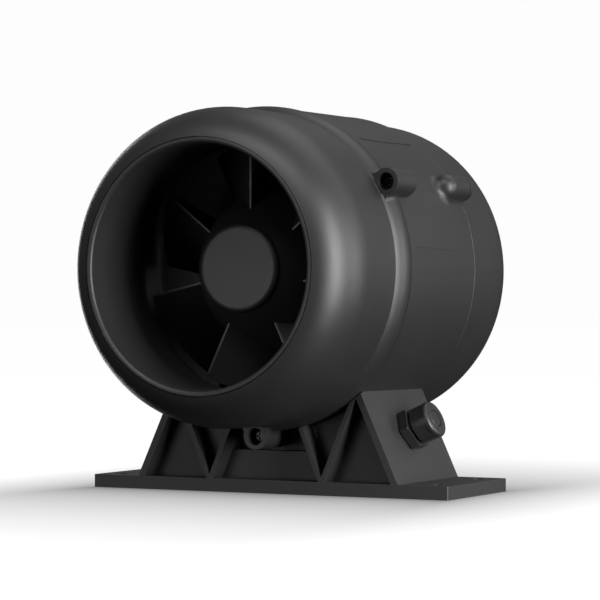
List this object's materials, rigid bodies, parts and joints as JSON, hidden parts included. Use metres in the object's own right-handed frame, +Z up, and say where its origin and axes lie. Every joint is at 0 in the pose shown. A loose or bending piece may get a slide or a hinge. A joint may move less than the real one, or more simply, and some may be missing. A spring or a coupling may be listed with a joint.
{
  "type": "inline duct fan",
  "caption": "Inline mixed-flow duct fan: round barrel with rounded bell ends, ducted rings, bladed impeller, trapezoidal foot and a side cable gland.",
  "frame": {"origin": "on the floor, under the middle of the casing", "axes": "+Z up, +Y the way the air flows (the inlet faces -Y), +X along the foot"},
  "size_m": [0.25, 0.2493, 0.24],
  "materials": {
    "casing_plastic": "fine-grained satin black moulding",
    "foot_plastic": "fine-grained satin black moulding",
    "impeller_plastic": "smooth dark grey moulding",
    "inner_plastic": "smooth black moulding",
    "seal_rubber": "black rubber",
    "screw_steel": "zinc-plated steel",
    "black_steel": "black oxide steel",
    "motor_steel": "plain steel",
    "motor_alloy": "die-cast alloy",
    "laminated_steel": "stacked laminations",
    "copper_winding": "enamelled copper",
    "lead_jacket": "black cable jacket",
    "terminal_plastic": "cream moulding",
    "capacitor_can": "grey can",
    "gland_plastic": "satin black nylon"
  },
  "bodies": {
    "casing": {"base_bracket": "foot_plastic", "terminal_cover": "foot_plastic", "cover_screws": "screw_steel", "saddle_screws": "screw_steel", "barrel": "casing_plastic", "front_bell": "casing_plastic", "rear_bell": "casing_plastic", "front_seal": "seal_rubber", "rear_seal": "seal_rubber", "front_screws": "black_steel", "rear_screws": "black_steel", "inlet_ring": "casing_plastic", "outlet_ring": "casing_plastic", "outlet_cone": "inner_plastic", "impeller_shroud": "inner_plastic", "guide_vanes": "inner_plastic", "tail_cone": "inner_plastic", "front_bearing": "motor_steel", "rear_bearing": "motor_steel", "stator_core": "laminated_steel", "windings": "copper_winding", "motor_base": "motor_alloy", "motor_screws": "screw_steel", "motor_lead": "lead_jacket", "lead_grommet": "seal_rubber", "terminal_block": "terminal_plastic", "terminal_screws": "screw_steel", "capacitor": "capacitor_can", "capacitor_clip": "foot_plastic", "gland_washer": "seal_rubber", "gland_body": "gland_plastic", "gland_locknut": "gland_plastic", "gland_seal": "seal_rubber", "gland_plug": "gland_plastic"},
    "impeller": {"impeller": "impeller_plastic", "nose_cap": "impeller_plastic", "impeller_screws": "screw_steel", "rotor_cup": "motor_steel", "rotor_core": "laminated_steel", "shaft": "motor_steel", "shaft_clip": "motor_steel"},
    "gland_slip": {"gland_slip_ring": "gland_plastic"},
    "gland_nut": {"gland_cap": "gland_plastic"}
  },
  "joints": [
    {"name": "impeller_spin", "type": "hinge", "parent": "casing", "child": "impeller", "pos_m": [0, 0, 0.1393], "axis": [0, 1, 0], "continuous": true},
    {"name": "gland_travel", "type": "slide", "parent": "casing", "child": "gland_slip", "axis": [0.9096, 0, 0.4155], "range_m": [0, 0.0045]},
    {"name": "gland_turn", "type": "hinge", "parent": "gland_slip", "child": "gland_nut", "pos_m": [0.07801, 0.0035, 0.0385], "axis": [0.9096, 0, 0.4155], "range_deg": [0, 1080]}
  ],
  "couplings": [
    {"joint": "gland_travel", "follows": "gland_turn", "m_per_rad": 0.00023873}
  ]
}
